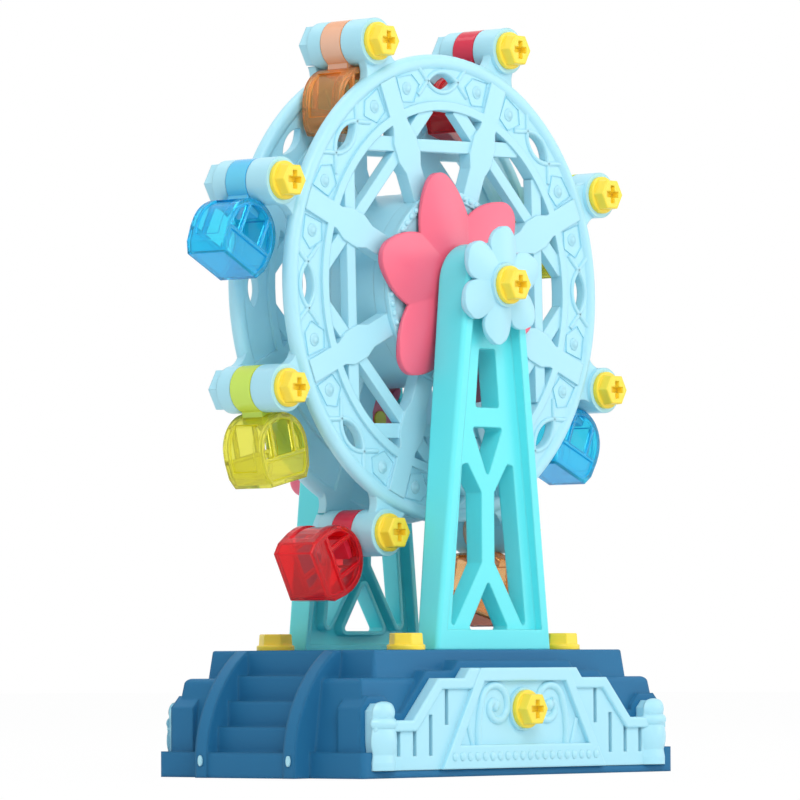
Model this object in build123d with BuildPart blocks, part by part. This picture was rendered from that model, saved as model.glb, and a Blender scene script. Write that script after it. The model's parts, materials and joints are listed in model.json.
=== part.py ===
"""Hand cranked ferris wheel toy: a stepped base, two A-frame towers, a bolted wheel and eight swinging cabins.

Frame: +Z up, X along the base, Y along the axle, front (railing, small flower) towards -Y.
The origin is the middle of the base's underside. Millimetres.
"""

from build123d import *
import os
from math import acos, atan2, cos, degrees, hypot, pi, radians, sin, sqrt, tan

os.makedirs("parts", exist_ok=True)

# ------------------------------------------------------------------ driving sizes
# Running and seating gaps
RUN_GAP = 0.08  # radial, shaft in a bearing
SEAT_GAP = 0.2  # radial or lateral, a fixed piece in its socket
SIDE_GAP = 0.8  # between a turning face and a standing one

# Base: a flange and two sloped tiers, hollow underneath
BASE_LENGTH = 191.8
TOP_MARGIN = 2.5  # from the tower feet to the edge of the top
BASE_CORNER = 1.6
BASE_WALL = 3.2
FLANGE_H = 10.2
LOWER_TIER_H = 29.0
UPPER_TIER_H = 11.05
LEDGE = 3.2
LOWER_DRAFT = 8.3
UPPER_DRAFT = 9.0
UPPER_SETBACK_X = 10.3
UPPER_SETBACK_Y = 2.3
COVER_T = 2.6
COVER_LIP = 3.0
COVER_RECESS = 0.4
SCREW_BOSS_D = 8.0
SCREW_D = 2.8
SCREW_HEAD_D = 5.6
SCREW_L = 12.0

# Stairs at both ends
STEP_COUNT = 5
TREAD = 5.9
STAIR_INSET = 15.7
STAIR_W = 41.0
RAIL_W = 6.1
RAIL_REACH = 8.9
RAIL_FOOT_H = 9.0
PEG_W = 2.2
PEG_H = 4.4
PEG_PROUD = 0.7
PEG_DEPTH = 3.0

# Play bolts: a cross recessed hexagon on a round flange
BOLT_FLANGE_D = 15.4
BOLT_FLANGE_T = 2.2
BOLT_HEX = 12.2
BOLT_HEAD_H = 4.5
BOLT_SHANK_D = 7.0
BOLT_CROSS_L = 7.4
BOLT_CROSS_W = 2.5
BOLT_CROSS_DEEP = 3.2
BOLT_ROUND = 0.7

# Railing panels on the long sides
FENCE_MARGIN = 5.7
FENCE_LIP = 3.0
FENCE_POST_W = 12.9
FENCE_POST_H = 26.3
FENCE_RAIL_H = 19.6
FENCE_SHOULDER_H = 36.0
FENCE_CENTRE_H = 40.0
FENCE_BOLT_H = 23.4
FENCE_LOW_RAIL = 9.9
FENCE_SLOPE = 15.4
FENCE_CENTRE_HALF = 33.0
FENCE_STEP = 3.5
FENCE_BOLT_L = 15.0
FENCE_BACKING = 3.0
POST_CHAMFER = 3.0
ARCH_W = 5.0
ARCH_SPREAD = 21.0
ARCH_FOOT = 9.4
ARCH_BAR = 5.3
ARCH_RELIEF = 2.3
POST_AXIS = 6.7  # how far behind the panel's face the posts are centred
POST_FOOT = 7.2
POST_WAIST = 6.5
POST_BODY = 7.6
POST_NECK = 6.1
POST_COLLAR = 8.0
POST_KNOB = 6.7
SLOT_FOOT = 5.5
SLOT_BACK = 2.4
FENCE_FRAME = 4.4
FENCE_RELIEF = 1.6
FENCE_PANEL_T = 4.0
BALUSTER_PITCH = 9.6
BALUSTER_SLOT = 2.0

# Cabins, measured from the pivot
LOOP_D = 19.0
LOOP_W = 10.6
LOOP_SIDE = 0.3
CABIN_TOP = 9.8
CABIN_R = 14.2
CABIN_H = 28.3
CABIN_FLOOR = 21.0
CABIN_DEPTH = 20.8
CABIN_WALL = 1.7
CABIN_SILL = 16.6
CABIN_BAR = 1.6
CABIN_BAR_X = 6.2
CABIN_ARCH_IN = 2.6
CABIN_ROUND = 1.1
CABIN_PANEL_DEEP = 0.7
CABIN_SIDE_W = 12.4
CABIN_SIDE_TOP = 13.0
CABIN_SIDE_FOOT = 31.0
CABIN_BELT = 33.0
TAB_W = 9.0
TAB_DEEP = 2.6

# Wheel: two rims, outer ring, band, inner ring, spokes, chords and braces
WHEEL_PHASE = 1.46
CAR_COUNT = 8
RIM_R = 95.3
RIM_T = 5.8
RING_ROUND = 2.6
WHEEL_MID_Y = -0.3
FRONT_ROOM = 0.4
REAR_ROOM = 2.0
RING_W = 6.2
BAND_W = 13.0
BAND_SUNK = 1.2
BAND_T = 3.4
INNER_RING_W = 3.7
SPOKE_W = 9.5
CHORD_W = 5.0
CHORD_CURVE = 0.6
CHORD_R = 57.8
BRACE_W = 6.0
BAR_SUNK = 0.9
BAR_T = 4.2
GUSSET_W = 14.0
GUSSET_L = 19.0
GUSSET_FLAT = 8.0
EYE_L = 15.5
EYE_H = 6.4
BOSS_OUT = 11.4
BOSS_D = 19.0
BOSS_REAR_L = 7.0
NUT_T = 4.8
NUT_AF = 15.6
NECK_HALF = 8.5
NECK_SUNK = 1.8
DRUM_R = 39.5
DRUM_WALL = 2.6
HUB_RING_W = 4.0
HUB_D = 20.0
HUB_WEB_T = 3.0
CAP_T = 2.0
CAP_SPIGOT = 2.8
CAP_SUNK = 0.8
CAP_SUNK_R = 35.6
CAP_HUB_R = 15.0
DRUM_RIB = 1.8

# Axle and flowers
AXLE_D = 9.0
SWING_CLEARANCE = 0.4
FLOWER_R = 47.7
FLOWER_NOTCH_R = 30.4
FLOWER_T = 6.2
FLOWER_FALL = 3.6
FLOWER_BULGE_AT = 36.0
FLOWER_BULGE_W = 12.4
FLOWER_TIP_W = 5.6
FLOWER_CROWN_R = 40.0
FLOWER_HUB_R = 14.0
FLOWER_TURN = 105.5
FLOWER_COLLAR_T = 1.0
PETALS = 6
STAR_R = 24.2
STAR_NOTCH_R = 14.6
STAR_T = 5.6
STAR_FALL = 3.0
STAR_BULGE_AT = 18.4
STAR_BULGE_W = 7.5
STAR_TIP_W = 3.5
STAR_CROWN_R = 17.0
STAR_HUB_R = 9.0
STAR_TURN = 83.0
AXLE_SCREW_D = 5.0
AXLE_SCREW_L = 12.0

# Towers
TOWER_FOOT = 71.0
TOWER_HEAD_R = 17.4
TOWER_HEAD_DEEP = 15.4
TOWER_FOOT_DEEP = 10.5
TOWER_FOOT_STEP = 3.2
TOWER_RIM = 5.2
TOWER_SUNK = 5.0
TOWER_WEB = 3.0
TOWER_WALL = 2.4
TOWER_LIP = 1.8
TOWER_ROUND = 1.8
HEAD_POCKET_D = 24.0
HEAD_POCKET_DEEP = 1.3
TOWER_BOLT_OUT = 12.5
TOWER_BOLT_EDGE = 0.3
BEARING_D = 17.0
FOOT_BAND = 8.0
TRIANGLE_H = 19.8
TRIANGLE_HALF = 12.6
LEG_W = 6.6
STEM_W = 7.8
STEM_LOW = 35.0
STEM_HIGH = 63.3
FORK_H = 69.0
CROSSBAR_LOW = 89.6
CROSSBAR_H = 7.9
WINDOW_H = 23.8
WINDOW_FILLET = 1.2
SIDE_WINDOW_TOP = 75.0
SIDE_BAR = 11.0
TONGUE_L = 16.0
TONGUE_T = 6.0
TONGUE_AT = 20.0
FOOT_PLATE_T = 4.0
FOOT_PLATE_W = 16.0

# Gear pair and crank
GEAR_MODULE = 2.6
GEAR_TEETH = 28
PINION_TEETH = 12
PRESSURE_ANGLE = 25.0
GEAR_T = 5.4
GEAR_STANDOFF = 2.3
GEAR_BACKLASH = 0.25
GEAR_HUB_D = 22.0
GEAR_WEB_T = 2.6
TOOTH_ADDENDUM = 0.95
TOOTH_DEDENDUM = 1.25
FLANK_STEPS = 4
CRANK_SHAFT_D = 6.8
CRANK_R = 24.0
CRANK_ARM_T = 6.0
CRANK_HUB_D = 18.0
CRANK_KNOB_D = 14.4
CRANK_KNOB_L = 17.0
CRANK_BEARING_D = 15.0

# ------------------------------------------------------------------ worked out sizes
BASE_H = FLANGE_H + LOWER_TIER_H + UPPER_TIER_H
PIVOT_R = RIM_R + BOSS_OUT
CABIN_REACH = hypot(CABIN_FLOOR / 2, CABIN_TOP + CABIN_H)
AXLE_Z = BASE_H + PIVOT_R + CABIN_REACH + SWING_CLEARANCE
SECTOR = 360 / CAR_COUNT

RIM_GAP = FRONT_ROOM + CABIN_DEPTH + REAR_ROOM
RIM_FRONT_IN = WHEEL_MID_Y - CABIN_DEPTH / 2 - FRONT_ROOM
RIM_FRONT_OUT = RIM_FRONT_IN - RIM_T
RIM_REAR_IN = RIM_FRONT_IN + RIM_GAP
RIM_REAR_OUT = RIM_REAR_IN + RIM_T
BOSS_FRONT_IN = WHEEL_MID_Y - LOOP_W / 2 - LOOP_SIDE
BOSS_REAR_IN = WHEEL_MID_Y + LOOP_W / 2 + LOOP_SIDE
BOSS_REAR_OUT = BOSS_REAR_IN + BOSS_REAR_L
NUT_OUT = BOSS_REAR_OUT + NUT_T

CAP_FACE = RIM_FRONT_OUT - CAP_T
FLOWER_BACK = CAP_FACE - FLOWER_COLLAR_T
FLOWER_FACE = FLOWER_BACK - FLOWER_T
TOWER_IN = -(FLOWER_FACE - SIDE_GAP)
TOWER_OUT = TOWER_IN + TOWER_HEAD_DEEP
TOWER_FOOT_IN = TOWER_IN + TOWER_FOOT_STEP
TOWER_FOOT_OUT = TOWER_FOOT_IN + TOWER_FOOT_DEEP
TOWER_FOOT_Y = (TOWER_FOOT_IN + TOWER_FOOT_OUT) / 2
TOWER_BOLT_X = TOWER_FOOT / 2 + TOWER_BOLT_OUT
STAR_BACK = -(TOWER_OUT + SIDE_GAP)
STAR_FACE = STAR_BACK - STAR_T
AXLE_END = TOWER_OUT + SIDE_GAP

GEAR_FRONT = RIM_REAR_OUT + GEAR_STANDOFF
GEAR_R = GEAR_MODULE * GEAR_TEETH / 2
PINION_R = GEAR_MODULE * PINION_TEETH / 2
CRANK_Z = AXLE_Z - GEAR_R - PINION_R
CRANK_IN = TOWER_OUT + SIDE_GAP
CRANK_OUT = CRANK_IN + CRANK_ARM_T

# the base's width follows from the towers that stand on it, its length is given
LOWER_SHRINK = LOWER_TIER_H * tan(radians(LOWER_DRAFT))
UPPER_SHRINK = UPPER_TIER_H * tan(radians(UPPER_DRAFT))
TOP_W = 2 * (TOWER_FOOT_OUT + TOP_MARGIN)
UPPER_W = TOP_W + 2 * UPPER_SHRINK
LOWER_W = UPPER_W + 2 * UPPER_SETBACK_Y + 2 * LOWER_SHRINK
BASE_WIDTH = LOWER_W + 2 * LEDGE
LOWER_L = BASE_LENGTH - 2 * LEDGE
UPPER_L = LOWER_L - 2 * LOWER_SHRINK - 2 * UPPER_SETBACK_X
TOP_L = UPPER_L - 2 * UPPER_SHRINK
TOWER_BOLT_Y = TOP_W / 2 - BOLT_FLANGE_D / 2 - TOWER_BOLT_EDGE
FENCE_L = BASE_LENGTH - 2 * FENCE_MARGIN
FENCE_BACK = BASE_WIDTH / 2 - FENCE_PANEL_T
FENCE_FACE = BASE_WIDTH / 2 + FENCE_RELIEF
BOLT_TOP = BOLT_FLANGE_T + BOLT_HEAD_H


# ------------------------------------------------------------------ planes and small helpers
def front_plane(y, z=0.0):
    """Plane across the axle at y, seen from the front: local x is X and local y is Z."""
    return Plane(origin=(0, y, z), x_dir=(1, 0, 0), z_dir=(0, -1, 0))


def wheel_plane(y):
    return front_plane(y, AXLE_Z)


def polar(radius, angle):
    return (radius * cos(radians(angle)), radius * sin(radians(angle)))


def pivot(index):
    """Axle-frame X and Z of pivot number index, from the upper left one clockwise."""
    angle = 180 - SECTOR * 1.5 - SECTOR * index + WHEEL_PHASE
    return polar(PIVOT_R, angle)


def label_and_write(part, name):
    part.label = name
    export_step(part, f"parts/{name}.step")


def play_bolt(shank_d, shank_l):
    """Bolt with its flange seated on Z=0, the head above and the shank below."""
    with BuildPart() as bolt:
        with BuildSketch(Plane.XY):
            Circle(BOLT_FLANGE_D / 2)
        extrude(amount=BOLT_FLANGE_T)
        fillet(bolt.faces().sort_by(Axis.Z)[-1].edges(), radius=BOLT_ROUND)
        with BuildSketch(Plane.XY.offset(BOLT_FLANGE_T)) as hexagon:
            RegularPolygon(BOLT_HEX / 2, 6, major_radius=False)
            fillet(hexagon.vertices(), radius=BOLT_ROUND)
        extrude(amount=BOLT_HEAD_H, taper=4)
        chamfer(bolt.faces().sort_by(Axis.Z)[-1].edges(), length=BOLT_ROUND / 2)
        with BuildSketch(Plane.XY.offset(BOLT_TOP)):
            Rectangle(BOLT_CROSS_L, BOLT_CROSS_W)
            Rectangle(BOLT_CROSS_W, BOLT_CROSS_L)
        extrude(amount=-BOLT_CROSS_DEEP, taper=6, mode=Mode.SUBTRACT)
        with BuildSketch(Plane.XY):
            Circle(shank_d / 2)
        extrude(amount=-shank_l)
    return bolt.part


def facing_front(x, y, z):
    """Location whose Z axis points to the front."""
    return Location(Plane(origin=(x, y, z), x_dir=(1, 0, 0), z_dir=(0, -1, 0)))


def facing_rear(x, y, z):
    return Location(Plane(origin=(x, y, z), x_dir=(-1, 0, 0), z_dir=(0, 1, 0)))


# ------------------------------------------------------------------ base
LEDGE_Z = FLANGE_H + LOWER_TIER_H
STEP_H = BASE_H / STEP_COUNT
STAIR_TOP_X = BASE_LENGTH / 2 - STAIR_INSET
RAIL_X = BASE_LENGTH / 2 + RAIL_REACH
RAIL_SPAN = STAIR_W + 2 * RAIL_W
CAVITY_L = 2 * (STAIR_TOP_X - BASE_WALL)
CAVITY_W = LOWER_W - 2 * LOWER_SHRINK - 2 * BASE_WALL
ROOM_L = TOP_L - 2 * BASE_WALL
ROOM_W = TOP_W - 2 * BASE_WALL
COVER_L = CAVITY_L + 2 * COVER_LIP
COVER_W = CAVITY_W + 2 * COVER_LIP
SCREW_X = TOWER_BOLT_X + BOLT_FLANGE_D
SCREW_Y = ROOM_W / 2 - 6


def fence_outline(grow):
    """Half-symmetric outline of the railing panel, standing on local y = 0, grown by grow."""
    half = FENCE_L / 2
    centre_top = FENCE_CENTRE_HALF
    shoulder = FENCE_CENTRE_HALF + FENCE_STEP
    slope_foot = half - FENCE_POST_W - FENCE_LOW_RAIL
    shoulder_end = slope_foot - FENCE_SLOPE
    with BuildSketch() as outline:
        with BuildLine():
            Polyline(
                (0, 0),
                (half, 0),
                (half, FENCE_POST_H - POST_CHAMFER),
                (half - POST_CHAMFER, FENCE_POST_H),
                (half - FENCE_POST_W + POST_CHAMFER, FENCE_POST_H),
                (half - FENCE_POST_W, FENCE_POST_H - POST_CHAMFER),
                (half - FENCE_POST_W, FENCE_RAIL_H),
                (slope_foot, FENCE_RAIL_H),
                (shoulder_end, FENCE_SHOULDER_H),
                (shoulder, FENCE_SHOULDER_H),
                (centre_top, FENCE_CENTRE_H),
                (0, FENCE_CENTRE_H),
                close=True,
            )
        make_face()
        mirror(about=Plane.YZ)
        if grow:
            offset(amount=grow, kind=Kind.INTERSECTION)
    return outline.sketch


def on_fence_plane(sketch, y):
    """A flat outline drawn on XY, stood up on the front plane at y with its foot on the lip."""
    return front_plane(y, FENCE_LIP) * sketch


with BuildPart() as base_body:
    with BuildSketch():
        RectangleRounded(BASE_LENGTH, BASE_WIDTH, BASE_CORNER)
    extrude(amount=FLANGE_H)
    with BuildSketch(Plane.XY.offset(FLANGE_H)):
        RectangleRounded(LOWER_L, LOWER_W, BASE_CORNER)
    extrude(amount=LOWER_TIER_H, taper=LOWER_DRAFT)
    ledge_edges = base_body.faces().filter_by(Axis.Z).sort_by(Axis.Z)[-1].edges()
    fillet(ledge_edges, radius=2.5)
    with BuildSketch(Plane.XY.offset(LEDGE_Z - 0.01)):
        RectangleRounded(UPPER_L, UPPER_W, BASE_CORNER)
    extrude(amount=UPPER_TIER_H + 0.01, taper=UPPER_DRAFT)
    top_edges = base_body.faces().filter_by(Axis.Z).sort_by(Axis.Z)[-1].edges()
    fillet(top_edges, radius=0.8)
    # backing wall that follows the railing's outline, front and rear
    for side in (1, -1):
        add(extrude(on_fence_plane(fence_outline(FENCE_BACKING), -side * FENCE_BACK), amount=-side * 12,
                    mode=Mode.PRIVATE))
    # stair blocks with arched rails
    with BuildSketch(front_plane(RAIL_SPAN / 2)):
        with BuildLine():
            foot = (-RAIL_X, RAIL_FOOT_H)
            knee = (-RAIL_X + 5.3, BASE_H * 0.575)
            head = (-STAIR_TOP_X, BASE_H)
            Line((-RAIL_X, 0), foot)
            ThreePointArc(foot, knee, head)
            Polyline(head, (-CAVITY_L / 2, BASE_H), (-CAVITY_L / 2, 0), (-RAIL_X, 0))
        make_face()
        mirror(about=Plane.YZ)
    extrude(amount=RAIL_SPAN)
    # stairwell between the rails
    with BuildSketch(front_plane(STAIR_W / 2)):
        with BuildLine():
            well = [(-STAIR_TOP_X, BASE_H + 1)]
            for step in range(STEP_COUNT):
                riser_x = -STAIR_TOP_X - step * TREAD
                well.append((riser_x, BASE_H - step * STEP_H + (1 if step == 0 else 0)))
                well.append((riser_x, BASE_H - (step + 1) * STEP_H))
            well[-1] = (well[-1][0], 0)
            well = well[1:]
            well.append((-RAIL_X - 1, 0))
            well.append((-RAIL_X - 1, BASE_H + 1))
            Polyline(*well, close=True)
        make_face()
        mirror(about=Plane.YZ)
    extrude(amount=STAIR_W, mode=Mode.SUBTRACT)
    # hollow underside
    with BuildSketch():
        Rectangle(CAVITY_L, CAVITY_W)
    extrude(amount=LEDGE_Z - BASE_WALL, mode=Mode.SUBTRACT)
    with BuildSketch():
        Rectangle(ROOM_L, ROOM_W)
    extrude(amount=BASE_H - BASE_WALL, mode=Mode.SUBTRACT)
    with BuildSketch():
        Rectangle(COVER_L, COVER_W)
    extrude(amount=COVER_T + COVER_RECESS, mode=Mode.SUBTRACT)
    with BuildSketch(Plane.XY.offset(COVER_T + COVER_RECESS)):
        with GridLocations(2 * SCREW_X, 2 * SCREW_Y, 2, 2):
            Circle(SCREW_BOSS_D / 2)
    extrude(amount=BASE_H - BASE_WALL - COVER_T - COVER_RECESS)
    # railing pockets and bolt holes
    for side in (1, -1):
        add(extrude(on_fence_plane(fence_outline(SEAT_GAP), -side * FENCE_BACK), amount=side * 12,
                    mode=Mode.PRIVATE), mode=Mode.SUBTRACT)
    with BuildSketch(front_plane(BASE_WIDTH / 2, FENCE_LIP)):
        with Locations((0, FENCE_BOLT_H)):
            Circle(BOLT_SHANK_D / 2 + SEAT_GAP)
    extrude(amount=BASE_WIDTH, mode=Mode.SUBTRACT)
    with BuildSketch(Plane.XY.offset(BASE_H)):
        with GridLocations(2 * TOWER_BOLT_X, 2 * TOWER_BOLT_Y, 2, 2):
            Circle(BOLT_SHANK_D / 2 + SEAT_GAP)
        with GridLocations(2 * TONGUE_AT, 2 * TOWER_FOOT_Y, 2, 2):
            Rectangle(TONGUE_L + 2 * SEAT_GAP, TONGUE_T + 2 * SEAT_GAP)
    extrude(amount=-2 * BASE_WALL, mode=Mode.SUBTRACT)
    # screw holes and peg holes
    with BuildSketch(Plane.XY.offset(COVER_T + COVER_RECESS)):
        with GridLocations(2 * SCREW_X, 2 * SCREW_Y, 2, 2):
            Circle(SCREW_D / 2)
    extrude(amount=SCREW_L, mode=Mode.SUBTRACT)
    for side in (1, -1):
        with BuildSketch(Plane.YZ.offset(side * RAIL_X)):
            with Locations((-(STAIR_W + RAIL_W) / 2, RAIL_FOOT_H - PEG_H / 2),
                           ((STAIR_W + RAIL_W) / 2, RAIL_FOOT_H - PEG_H / 2)):
                Ellipse(PEG_W / 2, PEG_H / 2)
        extrude(amount=-side * PEG_DEPTH, mode=Mode.SUBTRACT)
label_and_write(base_body.part, "base_body")

with BuildPart() as base_cover:
    with BuildSketch(Plane.XY.offset(COVER_RECESS)):
        Rectangle(COVER_L - 2 * SEAT_GAP, COVER_W - 2 * SEAT_GAP)
    extrude(amount=COVER_T)
    with Locations(Plane.XY.offset(COVER_RECESS)):
        with GridLocations(2 * SCREW_X, 2 * SCREW_Y, 2, 2):
            CounterSinkHole(SCREW_D / 2 + SEAT_GAP, SCREW_HEAD_D / 2 + SEAT_GAP, depth=COVER_T)
label_and_write(base_cover.part, "base_cover")


def screw(head_d, shank_d, length):
    """Countersunk screw, head face on Z=0 and shank downwards."""
    with BuildPart() as body:
        with BuildSketch(Plane.XZ):
            with BuildLine():
                sink = (head_d - shank_d) / 2
                Polyline((0, 0), (head_d / 2, 0), (shank_d / 2, -sink), (shank_d / 2, -length + 1.5),
                         (0, -length), close=True)
            make_face()
        revolve(axis=Axis.Z)
        with BuildSketch(Plane.XY):
            Rectangle(head_d * 0.6, head_d * 0.16)
            Rectangle(head_d * 0.16, head_d * 0.6)
        extrude(amount=-head_d * 0.2, mode=Mode.SUBTRACT)
    return body.part


cover_screw = screw(SCREW_HEAD_D, SCREW_D - 0.1, SCREW_L)
with BuildPart() as base_screws:
    with Locations(*[Location((x, y, COVER_RECESS), (180, 0, 0))
                     for x in (-SCREW_X, SCREW_X) for y in (-SCREW_Y, SCREW_Y)]):
        add(cover_screw)
label_and_write(base_screws.part, "base_screws")

with BuildPart() as rail_pegs:
    for side in (1, -1):
        with BuildSketch(Plane.YZ.offset(side * (RAIL_X + PEG_PROUD))):
            with Locations((-(STAIR_W + RAIL_W) / 2, RAIL_FOOT_H - PEG_H / 2),
                           ((STAIR_W + RAIL_W) / 2, RAIL_FOOT_H - PEG_H / 2)):
                Ellipse(PEG_W / 2 - RUN_GAP, PEG_H / 2 - RUN_GAP)
        extrude(amount=-side * (PEG_PROUD + PEG_DEPTH - RUN_GAP))
label_and_write(rail_pegs.part, "rail_pegs")


# ------------------------------------------------------------------ railing panels
FENCE_HALF = FENCE_L / 2
POST_X = FENCE_HALF - FENCE_POST_W / 2
SLOPE_FOOT = FENCE_HALF - FENCE_POST_W - FENCE_LOW_RAIL
SLOPE_HEAD = SLOPE_FOOT - FENCE_SLOPE


def baluster_slots():
    """Narrow slots between the balusters, standing on local y = 0; the handrail crosses their tops."""
    with BuildSketch() as slots:
        first = FENCE_HALF - FENCE_POST_W - SLOT_BACK
        low_top = FENCE_RAIL_H - FENCE_FRAME / 2
        for number, (foot, top) in enumerate((
            (SLOT_FOOT, low_top), (SLOT_FOOT, low_top), (SLOT_FOOT, FENCE_RAIL_H + BALUSTER_SLOT),
            (FENCE_RAIL_H - BALUSTER_SLOT, FENCE_SHOULDER_H - FENCE_FRAME / 2),
        )):
            with Locations((first - number * BALUSTER_PITCH, (foot + top) / 2)):
                Rectangle(BALUSTER_SLOT, top - foot)
        mirror(about=Plane.YZ)
    return slots.sketch


def arch_outline(inset, foot, head):
    """Trapezoid of the centre arch between two heights, its slanting sides moved in by inset."""
    lean = ARCH_SPREAD / FENCE_SHOULDER_H
    foot_x = FENCE_CENTRE_HALF - FENCE_STEP + ARCH_SPREAD - inset
    with BuildSketch() as outline:
        with BuildLine():
            Polyline((foot_x - lean * foot, foot), (foot_x - lean * head, head), (lean * head - foot_x, head),
                     (lean * foot - foot_x, foot), close=True)
        make_face()
    return outline.sketch


def handrail():
    """Raised rail along the top of the panel, from the posts up to the arch."""
    with BuildSketch() as rail:
        add(fence_outline(0))
        with BuildLine():
            Polyline(
                (0, 0),
                (FENCE_HALF, 0),
                (FENCE_HALF, FENCE_RAIL_H - FENCE_FRAME),
                (SLOPE_FOOT - FENCE_FRAME / 2, FENCE_RAIL_H - FENCE_FRAME),
                (SLOPE_HEAD - FENCE_FRAME / 2, FENCE_SHOULDER_H - FENCE_FRAME),
                (0, FENCE_SHOULDER_H - FENCE_FRAME),
                close=True,
            )
        make_face(mode=Mode.SUBTRACT)
        mirror(about=Plane.YZ, mode=Mode.INTERSECT)
        add(arch_outline(FENCE_FRAME / 2, 0, FENCE_CENTRE_H), mode=Mode.SUBTRACT)
        with Locations((POST_X, FENCE_POST_H), (-POST_X, FENCE_POST_H)):
            Rectangle(FENCE_POST_W, 2 * (FENCE_POST_H - FENCE_RAIL_H), mode=Mode.SUBTRACT)
    return rail.sketch


def turned_post(x):
    """Front part of a turned post that bulges out of the panel: foot, waist, body, collar and knob."""

    def turned(half_width):
        return x + hypot(half_width, POST_AXIS)

    collar_low = FENCE_RAIL_H - FENCE_FRAME / 2 - 1
    collar_top = FENCE_RAIL_H + 1
    with BuildPart() as post:
        with BuildSketch(Plane.XY.offset(FENCE_PANEL_T - POST_AXIS)):
            with BuildLine():
                Polyline((x, 0), (turned(POST_FOOT), 0), (turned(POST_FOOT), ARCH_FOOT / 3),
                         (turned(POST_WAIST), ARCH_FOOT * 2 / 3))
                ThreePointArc((turned(POST_WAIST), ARCH_FOOT * 2 / 3), (turned(POST_BODY), ARCH_FOOT),
                              (turned(POST_NECK + 0.6), collar_low))
                ThreePointArc((turned(POST_NECK + 0.6), collar_low), (turned(POST_COLLAR), (collar_low + collar_top) / 2),
                              (turned(POST_NECK), collar_top))
                ThreePointArc((turned(POST_NECK), collar_top), (turned(POST_KNOB), (collar_top + FENCE_POST_H) / 2),
                              (turned(POST_KNOB - 2), FENCE_POST_H))
                Polyline((turned(POST_KNOB - 2), FENCE_POST_H), (turned(1), FENCE_POST_H + 0.8),
                         (x, FENCE_POST_H + 0.8), (x, 0))
            make_face()
        revolve(axis=Axis((x, 0, FENCE_PANEL_T - POST_AXIS), (0, 1, 0)))
        split(bisect_by=Plane.XY.offset(FENCE_PANEL_T), keep=Keep.TOP)
    return post.part


with BuildPart() as fence_relief:
    with BuildSketch(Plane.XY.offset(FENCE_PANEL_T)):
        add(handrail())
    extrude(amount=FENCE_RELIEF)
    fillet(fence_relief.faces().filter_by(Axis.Z).sort_by(Axis.Z)[-2:].edges(), radius=FENCE_RELIEF * 0.6)
with BuildPart() as fence_arch:
    with BuildSketch(Plane.XY.offset(FENCE_PANEL_T)):
        add(arch_outline(0, 0, FENCE_CENTRE_H))
        add(arch_outline(ARCH_W, ARCH_FOOT, FENCE_CENTRE_H - ARCH_BAR), mode=Mode.SUBTRACT)
    extrude(amount=ARCH_RELIEF)
    fillet(fence_arch.faces().filter_by(Axis.Z).sort_by(Axis.Z)[-1].edges(), radius=0.6)

with BuildPart() as fence:
    with BuildSketch():
        add(fence_outline(0))
        add(baluster_slots(), mode=Mode.SUBTRACT)
    extrude(amount=FENCE_PANEL_T)
    add(fence_relief.part)
    add(fence_arch.part)
    add(turned_post(POST_X))
    add(turned_post(-POST_X))
    with BuildSketch(Plane.XY.offset(FENCE_PANEL_T)):
        with Locations((0, FENCE_BOLT_H)):
            Circle(BOLT_FLANGE_D / 2 + 1.0)
    extrude(amount=FENCE_RELIEF)
    with BuildSketch():
        with Locations((0, FENCE_BOLT_H)):
            Circle(BOLT_SHANK_D / 2 + RUN_GAP)
    extrude(amount=FENCE_PANEL_T + FENCE_RELIEF, mode=Mode.SUBTRACT)

fence_bolt = play_bolt(BOLT_SHANK_D, FENCE_BOLT_L)
label_and_write(facing_front(0, -FENCE_BACK, FENCE_LIP) * fence.part, "front_fence")
label_and_write(facing_rear(0, FENCE_BACK, FENCE_LIP) * fence.part, "rear_fence")
label_and_write(facing_front(0, -FENCE_FACE, FENCE_LIP + FENCE_BOLT_H) * fence_bolt, "front_fence_bolt")
label_and_write(facing_rear(0, FENCE_FACE, FENCE_LIP + FENCE_BOLT_H) * fence_bolt, "rear_fence_bolt")


# ------------------------------------------------------------------ towers
def tower_outline(inset):
    """A-frame outline on the XZ drawing plane: a head circle and two tangent legs."""
    rise = AXLE_Z - BASE_H
    foot = TOWER_FOOT / 2
    reach = hypot(foot, rise)
    turn = acos(TOWER_HEAD_R / reach) - atan2(rise, foot)
    tangent = (TOWER_HEAD_R * cos(turn), AXLE_Z + TOWER_HEAD_R * sin(turn))
    with BuildSketch() as outline:
        with BuildLine():
            Line((0, BASE_H), (foot, BASE_H))
            Line((foot, BASE_H), tangent)
            ThreePointArc(tangent, (TOWER_HEAD_R * cos(pi / 4), AXLE_Z + TOWER_HEAD_R * sin(pi / 4)),
                          (0, AXLE_Z + TOWER_HEAD_R))
            Line((0, AXLE_Z + TOWER_HEAD_R), (0, BASE_H))
        make_face()
        mirror(about=Plane.YZ)
        if inset:
            offset(amount=-inset, kind=Kind.INTERSECTION)
    return outline.sketch


def leg_half_width(z, inset):
    """Half width inside the legs at height z, inset from the outline."""
    slope = (TOWER_FOOT / 2 - TOWER_HEAD_R) / (AXLE_Z - BASE_H)
    return TOWER_FOOT / 2 - (z - BASE_H) * slope - inset


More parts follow.
